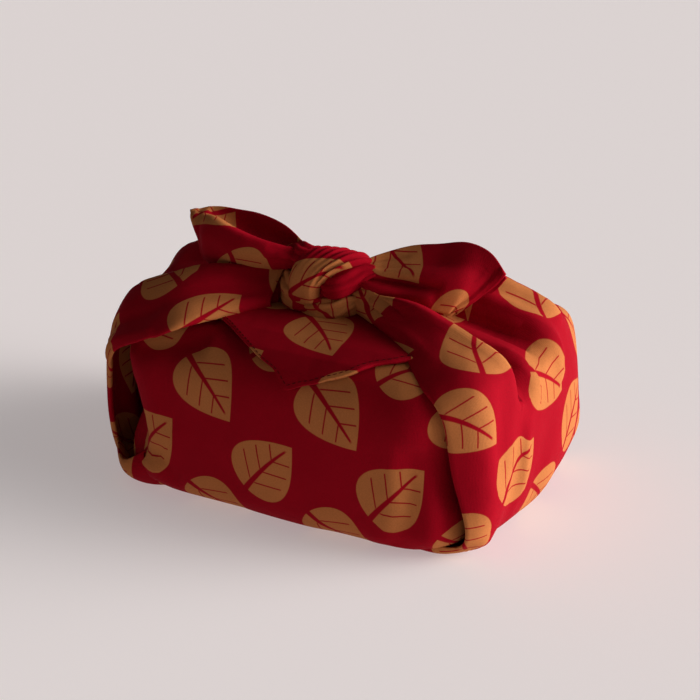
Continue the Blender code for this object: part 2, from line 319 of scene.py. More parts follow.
def top_height(x, y, lift):
    """Height of the body's top over plan points, lifted off its skin"""
    rows = offset_rows(BODY, lift)[TURN_ROW:]
    height = np.full(np.shape(x), rows[-1][0])
    found = np.zeros(np.shape(x), bool)
    for lower, upper in zip(rows[:-1], rows[1:]):
        d0, d1 = distance_outside(x, y, lower), distance_outside(x, y, upper)
        crossed = ~found & (d1 > 0)
        share = np.where(crossed, -d0/np.maximum(d1-d0, 1e-6), 0)
        height = np.where(crossed, lower[0]+(upper[0]-lower[0])*share, height)
        found |= crossed
    return height


# %% The tip's outline and sheet
# left end x and y, right end x and y, lift off the body's skin
FLAP = [
    (7.8, -61.3, 8.6, -61.3, 2.4),
    (0.0, -57.6, 15.0, -60.0, 2.8),
    (-10.0, -53.8, 22.0, -58.5, 2.8),
    (-19.0, -48.5, 32.0, -54.0, 2.7),
    (-28.5, -42.5, 39.0, -48.0, 2.6),
    (-38.0, -36.0, 48.5, -42.0, 2.5),
    (-54.0, -22.0, 60.0, -27.0, 2.4),
    (-62.0, 0.0, 64.0, 0.0, 2.2),
    (-62.0, 28.0, 62.0, 28.0, 1.6),
    (-58.0, 46.0, 58.0, 46.0, 0.9),
    (-54.0, 55.0, 54.0, 55.0, 0.2),
    (-50.0, 59.0, 50.0, 59.0, -0.6),
]
FLAP_ROWS = 80
FLAP_COLUMNS = 54
HEM_WIDTH = 3.2
HEM_FADE = 0.5


def flap_sheet(outline, row_count, column_count):
    """A sheet on the body's top, from rows of left end, right end and lift"""
    rows = curve_through(np.array(outline), row_count)
    share = np.linspace(0, 1, column_count)
    grid = []
    for left_x, left_y, right_x, right_y, lift in rows:
        x, y = left_x+(right_x-left_x)*share, left_y+(right_y-left_y)*share
        grid.append(np.stack([x, y, top_height(x, y, lift)], 1))
    return np.array(grid)


flap_grid = flap_sheet(FLAP, FLAP_ROWS, FLAP_COLUMNS)

# %% The tip's print map: across by x, and along by the distance walked over the top
FLAP_PRINT = (17.0, 21.2)
MIDDLE_LIFT = 1.5
middle_y = np.linspace(-62, 60, 200)
middle_z = top_height(np.zeros(len(middle_y)), middle_y, MIDDLE_LIFT)
walked = running_total(np.hypot(np.diff(middle_y), np.diff(middle_z)))
flap_v = np.interp(flap_grid[:, :, 1], middle_y, walked)
flap_uv = np.stack([flap_grid[:, :, 0], flap_v], 2)+FLAP_PRINT

# %% The tip's hem: thicker cloth along its two cut edges and round its point
across = lengths_along(flap_grid, 1)
edge = np.minimum(across, across[:, -1:]-across)
edge = np.minimum(edge, lengths_along(flap_grid, 0)+1.0)
flap_hem = np.clip((HEM_WIDTH-edge)/HEM_FADE, 0, 1)
flap_hem[FLAP_ROWS//2:] = 0
add_stretch("flap", flap_grid, flap_uv, hem=flap_hem)

# %% The near corner, hidden under the folded tip
NEAR_ROWS = 30
NEAR_COLUMNS = 24
NEAR_PRINT = (0.0, 60.0)
NEAR_CORNER = [
    (-18.0, -44.0, 36.0, -44.0, 0.6),
    (-38.0, -32.0, 50.0, -32.0, 0.7),
    (-54.0, -12.0, 54.0, -12.0, 0.7),
    (-44.0, 10.0, 46.0, 10.0, 0.7),
    (-24.0, 32.0, 26.0, 32.0, 0.7),
    (-1.0, 54.0, 1.0, 54.0, 0.7),
]
near_grid = flap_sheet(NEAR_CORNER, NEAR_ROWS, NEAR_COLUMNS)
add_stretch("near_corner", near_grid, near_grid[:, :, :2]+NEAR_PRINT)

# %% [markdown]
# ## The wings
#
# Each end corner comes up the end wall, over the shoulder and along the top to the
# knot. It stands off the end, so there are open pockets at its front and back. The
# wing is lofted from ribs: one row of the table for each fold line, from the front
# fold to the rear fold, and the same ribs again, a little inside, for the layer
# that is turned under. Real folded edges are soft rolls, which the closed section
# gives without any extra work.

# %% Ribs of the wings
RIB_COLUMNS = ("foot_x", "foot_y", "inset", "low", "foot_bend", "belly", "lean", "shoulder_z",
               "shoulder_bend", "half_z", "half_bend", "throat_y", "throat_z")
RIGHT_RIBS = {
    "front fold": (74, -54, 18, 5, 5, 1, 2, 65, -5, 77, 2, -17.5, 82),
    "front face": (82, -46, 16, 1, 2, 4, 1, 71, -2, 80, 1, -18, 86),
    "sash ridge": (85, -28, 16, 0, 0, 4, 0, 73, -2, 85.5, -2, -16.5, 88.5),
    "sash step": (86, -21, 17, -1, 0, 4, 0, 67, -1, 75, -6, -14.5, 87),
    "rear face": (87, 0, 16, 0, 0, 4, 0, 72, 0, 83, 0, -11, 88),
    "rear ridge": (87, 17, 18, -2, 0, 4, 3, 79, 0, 94, 4, -8, 89),
    "rear dip": (85, 32, 18, -2, 0, 4, 4, 74, 0, 92, 4, -5, 86),
    "rear fold": (77, 54, 15, 4, 0, 2, 2, 67, 0, 82, 0, -3, 82),
}
LEFT_RIBS = {
    "front fold": (82, -51, 13, -2, 3, 1, 5, 60, -11, 76, -19, -26, 79),
    "front face": (84, -43, 15, 0, 1, 2, 2, 68.5, -8, 82, -12, -22, 84),
    "band ridge": (85, -30, 19, -2, 0, 3, 1.2, 76.3, -5, 88, -3, -15, 90),
    "band step": (86, -20, 22, -3, 0, 4, -1, 70, 0, 80, -1, -12.5, 89.5),
    "rear face": (87, 0, 24, -3, 0, 4, 0, 75, 0, 83, 2, -9.5, 89.5),
    "rear hump": (88, 14, 24, -3, 0, 4, -2, 79.5, 2, 88, 4, -7, 89),
    "rear dip": (84, 32, 22, -3, 0, 4, 0, 75, 0, 82, 4, -4, 87),
    "rear fold": (77, 54, 17, 4, 0, 2, 0, 67, 0, 77, 0, -2, 83),
}
THROAT_X = {"right": 11.0, "left": 19.0}
THROAT_MIDDLE_Y = -10.5
TURNED_UNDER = 2.2
WING_ROWS = 92
WING_COLUMNS = 6
REFERENCE_RIB = 2
# the print's break lies on the layer turned under, at the back
WING_SEAM = 54


def rib_controls(side, throat_x, rib, inner):
    """Control points of one rib, or of the layer that lies inner under it"""
    r = dict(zip(RIB_COLUMNS, rib))
    foot = np.array([side*r["foot_x"], r["foot_y"]], float)
    throat = np.array([side*throat_x, r["throat_y"]], float)
    away = foot-throat
    reach = np.linalg.norm(away)
    away /= reach
    across = np.array([-away[1], away[0]])*side
    t = inner
    shoulder = r["shoulder_z"]
    squeeze = (THROAT_MIDDLE_Y-r["throat_y"])*0.3*t/TURNED_UNDER
    # distance from the knot, height, sideways bend, pull towards the throat's middle
    stations = [
        (reach-r["inset"]-16, 0.3+t*0.75, 0, 0),
        (reach-r["inset"]*0.75, 0.6+t*0.9, r["foot_bend"], 0),
        (reach-r["inset"]*0.25+r["low"]*0.6-t*0.5, 5+t*0.5, r["foot_bend"], 0),
        (reach+r["low"]+r["belly"]*0.4-t, 13, r["foot_bend"], 0),
        (reach+r["low"]*0.5+r["belly"]-t, 26, r["foot_bend"]*0.6, 0),
        (reach+r["belly"]-r["lean"]*0.3-t, 0.62*shoulder, 0, 0),
        (reach+2-r["lean"]-t, shoulder+1-t*0.6, r["shoulder_bend"]*0.5, 0),
        (reach-16, shoulder+5-t, r["shoulder_bend"], 0),
        (reach*0.52, r["half_z"]-t, r["half_bend"], 0),
        (reach*0.24, (r["half_z"]+2*r["throat_z"])/3-t*1.4, r["half_bend"]*0.4, squeeze*0.6),
        (0, r["throat_z"]-t*2.0, 0, squeeze),
    ]
    return [np.append(throat+away*d+across*bend, z)+(0, pull, 0) for d, z, bend, pull in stations]


def wing_grid(side, throat_x, ribs):
    """Closed sections of a wing from the floor to the knot"""
    outer = [rib_controls(side, throat_x, rib, 0.0) for rib in ribs.values()]
    inner = [rib_controls(side, throat_x, rib, TURNED_UNDER) for rib in reversed(ribs.values())]
    controls = np.array(outer+inner)
    controls = curve_through(controls, len(controls)*WING_COLUMNS+1, closed=True)
    grid = np.array([soft_curve(c, WING_ROWS) for c in controls])
    return grid.transpose(1, 0, 2)


def unrolled(grid, reference, row, start, seam=None):
    """Print map of a grid: distance across from one column, and along from one row"""
    across = lengths_along(grid, 1)
    if seam is not None:
        across[:, seam:] -= across[:, -1:].copy()
    along = lengths_along(grid, 0)
    u = across-across[:, reference:reference+1]
    v = along[:, reference]-along[row, reference]
    return np.stack([u, np.repeat(v[:, None], grid.shape[1], 1)], 2)+start


# %% Creases of the wings
# row 0 is under the body and row 1 at the knot; column 0 is the front fold
RIGHT_CREASES = [
    ([(0.97, 0.125), (0.86, 0.127), (0.76, 0.13), (0.66, 0.133), (0.56, 0.14)], 3.4, 2.4),
    ([(0.95, 0.166), (0.86, 0.170), (0.76, 0.174), (0.66, 0.172), (0.56, 0.165)], -7.5, 3.4),
    ([(0.90, 0.212), (0.80, 0.214), (0.70, 0.212), (0.62, 0.207), (0.54, 0.205)], 3.8, 2.8),
    ([(0.90, 0.245), (0.80, 0.247), (0.70, 0.245), (0.60, 0.238)], -6.0, 3.0),
    ([(0.92, 0.278), (0.80, 0.279), (0.70, 0.276), (0.60, 0.272), (0.53, 0.27)], 4.2, 3.2),
    ([(0.94, 0.315), (0.84, 0.322), (0.72, 0.328), (0.60, 0.33)], 3.2, 3.6),
    ([(0.65, 0.190), (0.61, 0.200), (0.56, 0.222)], 1.6, 2.0),
    ([(0.95, 0.03), (0.84, 0.035), (0.72, 0.04)], 0.9, 2.5),
    ([(0.60, 0.10), (0.50, 0.085), (0.40, 0.09)], -1.6, 3.0),
    ([(0.56, 0.15), (0.44, 0.12), (0.30, 0.11), (0.16, 0.12)], -1.5, 5.0),
    ([(0.55, 0.19), (0.46, 0.17), (0.36, 0.165)], 1.3, 2.5),
    ([(0.52, 0.24), (0.38, 0.22), (0.22, 0.24)], -1.3, 6.0),
    ([(0.28, 0.05), (0.20, 0.08), (0.12, 0.06)], 1.4, 3.5),
]
LEFT_CREASES = [
    ([(0.97, 0.125), (0.86, 0.125), (0.76, 0.13), (0.64, 0.14)], 1.8, 2.2),
    ([(0.95, 0.165), (0.86, 0.17), (0.76, 0.175), (0.62, 0.18)], -3.2, 3.4),
    ([(0.95, 0.06), (0.85, 0.07), (0.72, 0.06)], -1.2, 3.0),
    ([(0.90, 0.095), (0.80, 0.10), (0.66, 0.095)], 0.9, 2.4),
    ([(0.76, 0.005), (0.66, 0.01), (0.56, 0.015)], 2.4, 2.6),
    ([(0.76, 0.05), (0.66, 0.052), (0.57, 0.055)], -1.8, 2.4),
    ([(0.92, 0.31), (0.80, 0.315), (0.66, 0.32)], 1.4, 3.5),
    ([(0.90, 0.27), (0.78, 0.27), (0.66, 0.26)], -2.4, 3.5),
    ([(0.55, 0.14), (0.40, 0.12), (0.24, 0.13)], -1.5, 5.0),
]
THROAT_GATHERS = [([(1.0, column), (0.93, column), (0.84, column)], -0.8, 1.2)
                  for column in (0.05, 0.10, 0.20, 0.25, 0.31)]
# side, ribs, creases and where the print starts
WINGS = {
    "right": (1, RIGHT_RIBS, RIGHT_CREASES, (0.0, 40.0)),
    "left": (-1, LEFT_RIBS, LEFT_CREASES, (25.0, 10.0)),
}
for name, (side, ribs, creases, start) in WINGS.items():
    smooth = wing_grid(side, THROAT_X[name], ribs)
    uv = unrolled(smooth, REFERENCE_RIB*WING_COLUMNS, WING_ROWS//2, start, seam=WING_SEAM)
    pressed = press(smooth, creases+THROAT_GATHERS, -side, closed=True)
    # the layer turned under moves with the outer one, so they never cross
    last = (len(ribs)-1)*WING_COLUMNS
    partner = [k if k <= last else max(0, min(last, 2*last+WING_COLUMNS-k))
               for k in range(smooth.shape[1])]
    grid = smooth+(pressed-smooth)[:, partner]
    add_stretch("wing_"+name, grid, uv, closed=True, turn=side < 0)

# %% Foot of each pocket
# rows from the inside over the lip to the floor, each from the wing to the front
POCKET_FEET = {
    "left": [
        ((-77, -44, 8), (-71, -50, 7), (-65, -52, 10), (-57, -54, 15)),
        ((-79.5, -48, 16), (-74, -54.5, 13), (-68, -58.5, 14), (-60, -57.5, 19)),
        ((-80, -47.5, 9), (-74, -54, 7), (-67, -58.5, 7.5), (-57, -58, 11)),
        ((-75, -43, 1.4), (-70, -49.5, 1.2), (-62, -51.5, 1.2), (-52, -47, 1.2)),
        ((-68, -38, 0.8), (-63, -43, 0.8), (-57, -44, 0.8), (-50, -42, 0.8)),
    ],
    "right": [
        ((76, -44, 4), (70, -45, 3), (63, -48, 3), (52, -50, 5)),
        ((79, -48.5, 10), (73.5, -48.5, 6.5), (66, -51, 6.5), (53, -54, 9)),
        ((78, -46.5, 6), (73, -47.5, 3.5), (66, -50.5, 3), (53, -52, 4)),
        ((73, -41.5, 1.2), (68.5, -43.5, 1.0), (62, -46, 1.0), (52, -46, 1.0)),
        ((66, -36, 0.8), (62, -38, 0.8), (57, -41, 0.8), (50, -41, 0.8)),
    ],
}
FOOT_ROWS = 26
FOOT_COLUMNS = 30
FOOT_PRINT = (30.0, 12.0)


def lofted(rows, row_count, column_count):
    """Smooth grid through a few rows of points"""
    grid = curve_through(np.array(rows, float), row_count)
    return np.array([curve_through(row, column_count) for row in grid])


for name, rows in POCKET_FEET.items():
    grid = lofted(rows, FOOT_ROWS, FOOT_COLUMNS)
    uv = unrolled(grid, FOOT_COLUMNS//2, FOOT_ROWS//2, FOOT_PRINT)
    add_stretch("pocket_"+name, grid, uv, turn=name == "left")

# %% [markdown]
# ## The knot
#
# A square knot in soft cloth doesn't look like rope. One end wraps over the other as
# a broad band, finely gathered on top and pinched where it comes out again. The band
# is a strip bent round the knot's own axis: a row of the table gives the angle from
# the top towards the viewer, the strip's middle, its half width and its radius. The
# other four stretches are soft tubes that run from under the band to the wings and
# to the ears.

# %% The band round the knot
KNOT_CENTRE = np.array([1.0, -12.0, 86.0])
# angle in degrees, middle, half width, radius
BAND = [
    (-120, 3.0, 9.0, 8.0),
    (-75, 4.0, 12.0, 10.5),
    (-35, 3.0, 14.5, 12.0),
    (0, 2.0, 14.6, 13.0),
    (30, -0.5, 12.6, 13.6),
    (55, -4.0, 9.6, 14.0),
    (80, -6.2, 7.4, 14.0),
    (105, -6.0, 6.4, 13.6),
    (135, -4.5, 5.0, 12.0),
    (165, -3.0, 3.0, 10.0),
]
BAND_ROWS = 80
BAND_COLUMNS = 56
BAND_PRINT = (25.0, -6.0)
BAND_GATHERS = 7.5
BAND_GATHER_DEPTH = 0.6
BAND_CROWN = 1.2
EDGE_ROLL = 4.2
# the gathers are tight round the top, and tighter at the pinch on the right
TOP_ANGLE, TOP_SPREAD = -8, 30
PINCH_ANGLE, PINCH_SPREAD = 40, 32
BAND_PINCH = 3.4


def band_grid(gathered):
    """A strip bent round the knot with its edges rolled in, smooth or gathered along"""
    rows = curve_through(BAND, BAND_ROWS)
    s = np.linspace(-1, 1, BAND_COLUMNS)
    grid = []
    for angle, middle, half, radius in rows:
        turn = radians(angle)
        fold = np.sin(BAND_GATHERS*pi*s+0.9*np.sin(turn*1.7)+0.6*np.sin(5*s))
        fold = fold+0.4*np.sin(2.1*BAND_GATHERS*s+turn*1.3)
        tight = 0.05+np.exp(-((angle-TOP_ANGLE)/TOP_SPREAD)**2)
        pinch = np.clip(s-0.3, 0, 1)*np.exp(-((angle-PINCH_ANGLE)/PINCH_SPREAD)**2)
        tight = tight+BAND_PINCH*pinch
        r = radius+BAND_CROWN-EDGE_ROLL*np.abs(s)**4+BAND_GATHER_DEPTH*tight*fold*gathered
        x = middle+half*s*(1-0.06*s**4)
        grid.append(KNOT_CENTRE+np.stack([x, -r*np.sin(turn), r*np.cos(turn)], 1))
    return np.array(grid)


uv = unrolled(band_grid(0), BAND_COLUMNS//2, BAND_ROWS//2, BAND_PRINT)
add_stretch("knot_band", band_grid(1), uv, turn=True)

# %% Tubes out of the knot
# place from the knot's centre x, y, z, half width, half thickness
KNOT_TUBES = {
    "roll_right": [
        (-9, -6, -9, 4.0, 3.0),
        (-2, -9.5, -8.5, 5.0, 4.0),
        (5, -9, -7.5, 4.8, 3.9),
        (10, -6.5, -5.5, 4.3, 3.4),
        (16, -3, -4, 3.0, 1.0),
    ],
    "lobe_left": [
        (2, -7, -6, 4.0, 3.0),
        (-6, -9, -5, 5.5, 4.4),
        (-12, -8, -4, 6.5, 4.8),
        (-17, -4, -3, 6.0, 3.4),
        (-23, -1, -4, 3.0, 1.0),
    ],
    "root_left": [
        (2, -1, 7, 3.4, 3.4),
        (-6, -2, 8, 4.8, 4.6),
        (-12, -1.5, 9.5, 4.8, 4.0),
        (-16, 0.5, 10.5, 4.2, 2.4),
        (-21, 2, 10.5, 2.0, 0.4),
    ],
    "root_right": [
        (1, -6, 1, 3.0, 4.0),
        (6, -8.5, 2, 4.2, 3.6),
        (10, -6, 5, 4.4, 3.2),
        (14, -3, 7.5, 3.6, 2.0),
        (19, -1, 8.5, 1.6, 0.4),
    ],
}
TUBE_PRINT = {"roll_right": (25.0, 3.0), "lobe_left": (22.0, -4.0),
              "root_left": (0.0, 1.0), "root_right": (0.0, 0.0)}
TUBE_ROWS = 38
TUBE_COLUMNS = 37
TUBE_GATHERS = 7
TUBE_GATHER_DEPTH = 0.14
# each tube's gathers are shifted by this against the one before
TUBE_PHASE = 1.7
SMOOTHING_PASSES = 40


def squared_to(directions, along):
    """Unit directions with their part along a path taken out"""
    directions = directions-(directions*along).sum(1)[:, None]*along
    return directions/np.linalg.norm(directions, axis=1)[:, None]


def tube_grid(path, phase):
    """Oval sections along a path, flat side away from the knot's centre, gathered"""
    p = curve_through(path, TUBE_ROWS)
    line = p[:, :3]+KNOT_CENTRE
    along = np.gradient(line, axis=0)
    along /= np.linalg.norm(along, axis=1)[:, None]
    out = line-KNOT_CENTRE+(0, 0, 2)
    for _ in range(SMOOTHING_PASSES):
        out = squared_to(out, along)
        out[1:-1] = (out[:-2]+2*out[1:-1]+out[2:])/4
    out = squared_to(out, along)
    across = np.cross(along, out)
    turn = np.linspace(0, 2*pi, TUBE_COLUMNS)[None, :, None]
    run = np.linspace(0, 1, TUBE_ROWS)[:, None, None]
    swell = 1+TUBE_GATHER_DEPTH*np.sin(TUBE_GATHERS*turn+phase+1.5*np.sin(run*4+phase))
    return (line[:, None]+np.cos(turn)*(across*p[:, 3:4])[:, None]*swell
            + np.sin(turn)*(out*p[:, 4:5])[:, None]*swell)


for k, (name, path) in enumerate(KNOT_TUBES.items()):
    grid = tube_grid(path, TUBE_PHASE*k)
    uv = unrolled(grid, TUBE_COLUMNS//4, TUBE_ROWS//2, TUBE_PRINT[name], seam=3*TUBE_COLUMNS//4)
    add_stretch(name, grid, uv, closed=True)

# %% [markdown]
# ## The ears
#
# Each ear is a tip of the square that fans out of the knot. A station of the table
# is one line across it, from the rear edge over a trough and a ridge to the lower
# edge, and the last station is the cut hem itself. The lower edge turns under.

# %% Ears
LEFT_EAR = [
    ((-11, -9, 97.5), (-10, -12, 97.5), (-9, -14, 97), (-8, -14.5, 95), (-8, -14, 92)),
    ((-24, -4, 103), (-23, -8, 98), (-19, -16, 98), (-18, -20, 95), (-21, -17, 90)),
    ((-37, -1, 105), (-36, -6, 100), (-28, -17, 99), (-29, -22, 95), (-34, -18, 88)),
    ((-48, 0, 105), (-48, -4, 102), (-41, -16, 101), (-42, -21, 95), (-47, -17, 86)),
    ((-59, -1, 105), (-59, -4, 104), (-54, -12, 103.5), (-54, -18, 97), (-55, -15, 87)),
    ((-68, -6, 103), (-67, -7, 102), (-65, -9, 101), (-60, -12, 96), (-56, -13, 90)),
]
RIGHT_EAR = [
    ((12, -12, 96.5), (12.5, -13.5, 96), (12.5, -15, 94.5), (12, -16, 92.5), (11, -16.5, 91)),
    ((19, -6, 99), (20, -9, 97), (21, -14, 95), (21, -16, 92), (20, -17, 89)),
    ((29, 0, 102), (31, -5, 99), (34, -12, 96), (33, -13, 91), (32, -15, 86)),
    ((40, 2, 104), (42, -3, 100), (44, -10, 97), (44, -13, 91), (43, -14, 84)),
    ((51, 3, 106), (53, -2, 102), (54, -7, 97), (53, -10, 90), (49, -10, 82)),
    ((61, 2, 104), (60, -1, 99), (59, -4, 94), (55, -7, 88), (49, -8, 82)),
    ((68, 1, 97), (65, 0, 93), (60, -2, 89), (55, -4, 85), (49, -6, 82)),
]
EAR_UNDER = (1.5, 6.5, 2.0)
EAR_ROWS = 56
EAR_COLUMNS = 40


def ear_grid(stations):
    """Sheet of one ear with its lower edge turned under"""
    stations = np.array(stations, float)
    under = stations[:, -1:]+np.array(EAR_UNDER)*np.linspace(0.2, 1, len(stations))[:, None, None]
    return lofted(np.concatenate([stations, under], axis=1), EAR_ROWS, EAR_COLUMNS)


ROOT_GATHERS = [([(0.0, column), (0.14, column), (0.34, column*0.9+0.04)], -0.9, 1.3)
                for column in (0.14, 0.3, 0.46, 0.62)]
LEFT_EAR_CREASES = [
    ([(0.05, 0.40), (0.45, 0.42), (0.88, 0.42)], 1.4, 2.5),
    ([(0.10, 0.26), (0.45, 0.25), (0.85, 0.24)], -3.2, 3.2),
    ([(0.20, 0.62), (0.50, 0.66), (0.80, 0.60)], -1.2, 3.0),
]
RIGHT_EAR_CREASES = [
    ([(0.05, 0.62), (0.25, 0.59), (0.56, 0.57)], -3.0, 1.8),
    ([(0.08, 0.73), (0.28, 0.71), (0.52, 0.69)], 2.2, 2.2),
    ([(0.15, 0.30), (0.50, 0.27), (0.85, 0.30)], -1.2, 4.0),
]
# the layer that shows under the right ear's hem
SECOND_LAYER_FROM = 3
SECOND_LAYER_SHIFT = (-1.5, 4.5, -3.2)
second_layer = np.array(RIGHT_EAR[SECOND_LAYER_FROM:])+SECOND_LAYER_SHIFT
# stations, creases, the sign that turns the normals out, and where the print starts
EARS = {
    "left": (LEFT_EAR, LEFT_EAR_CREASES, 1, (12.0, 33.0)),
    "right": (RIGHT_EAR, RIGHT_EAR_CREASES, -1, (10.0, 12.0)),
    "right_under": (second_layer, [], -1, (-14.0, 20.0)),
}
ear_grids = {}
for name, (stations, creases, outward, start) in EARS.items():
    smooth = ear_grid(stations)
    uv = unrolled(smooth, EAR_COLUMNS//2, 0, start)
    tip = lengths_along(smooth, 0)
    hem = np.clip((HEM_WIDTH-(tip[-1:]-tip))/HEM_FADE, 0, 1)
    gathers = ROOT_GATHERS if creases else []
    ear_grids[name] = press(smooth, creases+gathers, outward)
    add_stretch("ear_"+name, ear_grids[name], uv, hem=hem, turn=outward < 0)

# %% [markdown]
# ## One cloth
#
# All stretches are one cloth, so they become one object. Solidify gives it the
# thickness of cotton, with the hem weights adding the turned edge.

# %% Join and thicken
cloth_mesh = bpy.data.meshes.new("wrapping_cloth")
joined = bmesh.new()
for obj in stretches:
    joined.from_mesh(obj.data)
joined.to_mesh(cloth_mesh)
joined.free()
cloth = bpy.data.objects.new("wrapping_cloth", cloth_mesh)
cloth.vertex_groups.new(name="hem")
bpy.context.scene.collection.objects.link(cloth)
for obj in stretches:
    bpy.data.objects.remove(obj)
thick = cloth.modifiers.new("thickness", "SOLIDIFY")
thick.thickness = HEM*MM
thick.offset = -1
thick.vertex_group = "hem"
cloth_mesh.shade_smooth()
print("cloth has", len(cloth_mesh.polygons), "faces before its thickness")


# %% [markdown]
# ## Hem stitches
#
# The turned hem is held by a row of machine stitches. Four lines carry them: one
# along each front edge of the folded tip, and one across each ear. A node tree puts
# a stitch at every step of a line and lays it along the line.

# %% Lines of the stitches
STITCH_INSET = 2.4
STITCH_LIFT = 0.12


def flap_line(side):
    """Points a little inside one front edge of the folded tip"""
    width = lengths_along(flap_grid, 1)[:, -1]
    rows = [k for k in range(FLAP_ROWS//2) if width[k] > 2.2*STITCH_INSET]
    shares = [STITCH_INSET/width[k] if side < 0 else 1-STITCH_INSET/width[k] for k in rows]
    line = [grid_point(flap_grid, k/(FLAP_ROWS-1), share) for k, share in zip(rows, shares)]
    return np.array(line)+(0, 0, STITCH_LIFT)


def ear_line(name, outward):
    """Points a little inside the cut edge of an ear"""
    grid = ear_grids[name]
    walked = lengths_along(grid, 0)
    lifted = grid+outward*STITCH_LIFT*grid_normals(grid)
    columns = range(2, int(EAR_COLUMNS*0.82))
    rows = [np.interp(walked[-1, k]-STITCH_INSET, walked[:, k], np.arange(EAR_ROWS)) for k in columns]
    return np.array([grid_point(lifted, row/(EAR_ROWS-1), k/(EAR_COLUMNS-1))
                     for row, k in zip(rows, columns)])


def edge_mesh(name, lines):
    """A mesh of bare edges through each line's points"""
    points, edges = [], []
    for line in lines:
        first = len(points)
        points += (line*MM).tolist()
        edges += [(first+k, first+k+1) for k in range(len(line)-1)]
    mesh = bpy.data.meshes.new(name)
    mesh.from_pydata(points, edges, [])
    return mesh


# %% Node tree of the stitches
def stitch_tree():
    """Stitches along the edges of a mesh, with named sizes"""
    tree = bpy.data.node_groups.new("hem_stitches", "GeometryNodeTree")
    tree.interface.new_socket(name="Geometry", in_out="OUTPUT", socket_type="NodeSocketGeometry")
    tree.interface.new_socket(name="Geometry", in_out="INPUT", socket_type="NodeSocketGeometry")
    for name in ("Pitch", "Stitch Length", "Thread Radius"):
        tree.interface.new_socket(name=name, in_out="INPUT", socket_type="NodeSocketFloat")
    tree.interface.new_socket(name="Thread", in_out="INPUT", socket_type="NodeSocketMaterial")

    def add(kind, settings=None, sockets=None):
        node = tree.nodes.new(kind)
        for key, value in (settings or {}).items():
            setattr(node, key, value)
        for key, value in (sockets or {}).items():
            if isinstance(value, bpy.types.NodeSocket):
                tree.links.new(value, node.inputs[key])
            else:
                node.inputs[key].default_value = value
        return node.outputs

    given = add("NodeGroupInput")
    curve = add("GeometryNodeMeshToCurve", {}, {"Mesh": given["Geometry"]})["Curve"]
    points = add("GeometryNodeCurveToPoints", {"mode": "LENGTH"},
                 {"Curve": curve, "Length": given["Pitch"]})
    turn = add("FunctionNodeAlignRotationToVector", {"axis": "X"}, {"Vector": points["Tangent"]})
    bead = add("GeometryNodeMeshIcoSphere", {}, {"Radius": 1.0, "Subdivisions": 2})["Mesh"]
    half = add("ShaderNodeMath", {"operation": "DIVIDE"}, {0: given["Stitch Length"], 1: 2.0})
    size = add("ShaderNodeCombineXYZ", {},
               {"X": half["Value"], "Y": given["Thread Radius"], "Z": given["Thread Radius"]})
    stitches = add("GeometryNodeInstanceOnPoints", {},
                   {"Points": points["Points"], "Instance": bead,
                    "Rotation": turn["Rotation"], "Scale": size["Vector"]})["Instances"]
    real = add("GeometryNodeRealizeInstances", {}, {"Geometry": stitches})["Geometry"]
    done = add("GeometryNodeSetMaterial", {}, {"Geometry": real, "Material": given["Thread"]})
    add("NodeGroupOutput", {}, {"Geometry": done["Geometry"]})
    return tree


def made_plain(obj):
    """Turn an object's evaluated nodes into a plain mesh"""
    evaluated = obj.evaluated_get(bpy.context.evaluated_depsgraph_get())
    obj.data = bpy.data.meshes.new_from_object(evaluated)
    obj.modifiers.clear()
    return obj


# %% [markdown]
# ## Shader maths in Python
#
# A wire is a shader socket that can be added, multiplied or compared. It lets a
# print be written as a formula, and each sign adds the Math node it stands for.

# %% Wires
class Wire:
    """A number in a node tree"""

    def __init__(self, graph, socket):
        self.graph = graph
        self.socket = socket

    def _math(self, operation, *values):
        return self.graph.node("ShaderNodeMath", {"operation": operation}, dict(enumerate(values)))

    def __add__(self, other):
        return self._math("ADD", self, other)

    def __sub__(self, other):
        return self._math("SUBTRACT", self, other)

    def __mul__(self, other):
        return self._math("MULTIPLY", self, other)

    def __truediv__(self, other):
        return self._math("DIVIDE", self, other)

    def __rsub__(self, other):
        return self._math("SUBTRACT", other, self)

    __radd__ = __add__
    __rmul__ = __mul__

    def do(self, operation, *values):
        return self._math(operation, self, *values)

    def part(self, name):
        """Another output of the node that this wire comes from"""
        return Wire(self.graph, self.socket.node.outputs[name])


class Graph:
    """A shader's node tree and the one way to add nodes to it"""

    def __init__(self, tree):
        self.tree = tree

    def node(self, kind, settings=None, inputs=None, output=0):
        """Add a node: its settings first, then the values or wires of its sockets"""
        node = self.tree.nodes.new(kind)
        for key, value in (settings or {}).items():
            setattr(node, key, value)
        for key, value in (inputs or {}).items():
            self.join(node.inputs[key], value)
        return Wire(self, node.outputs[output])

    def join(self, socket, value):
        if isinstance(value, Wire):
            self.tree.links.new(value.socket, socket)
        else:
            socket.default_value = value


class Paint(Graph):
    """A material"""

    def __init__(self, name):
        self.material = bpy.data.materials.new(name)
        self.material.use_nodes = True
        super().__init__(self.material.node_tree)
        self.shader = self.tree.nodes["Principled BSDF"]

    def set(self, values):
        for name, value in values.items():
            self.join(self.shader.inputs[name], value)


# %% [markdown]
# ## The printed cotton
#
# The ground is crimson with ochre leaves printed on it. A leaf is a formula: the
# half width at each place along its length. A midrib and side veins are left in the
# ground colour. Leaves stand in square cells, and every second cell is turned.

# %% Leaf print
CELL = 0.038
LEAF_LENGTH = 0.032
LEAF_HALF = 0.0136
LEAF_FULLNESS = 2.6
LEAF_BEND = 0.005
EDGE = 0.00018
VEIN_PITCH = 0.0078
VEIN_SLANT = 0.85
GROUND = (0.30, 0.0003, 0.0085, 1)
OCHRE = (0.46, 0.150, 0.045, 1)


def soft_step(paint, value, edge):
    """1 where value is well above 0, 0 where it is below, soft over edge"""
    return paint.node("ShaderNodeMapRange", {"clamp": True},
                      {"Value": value, "From Min": -edge, "From Max": edge})


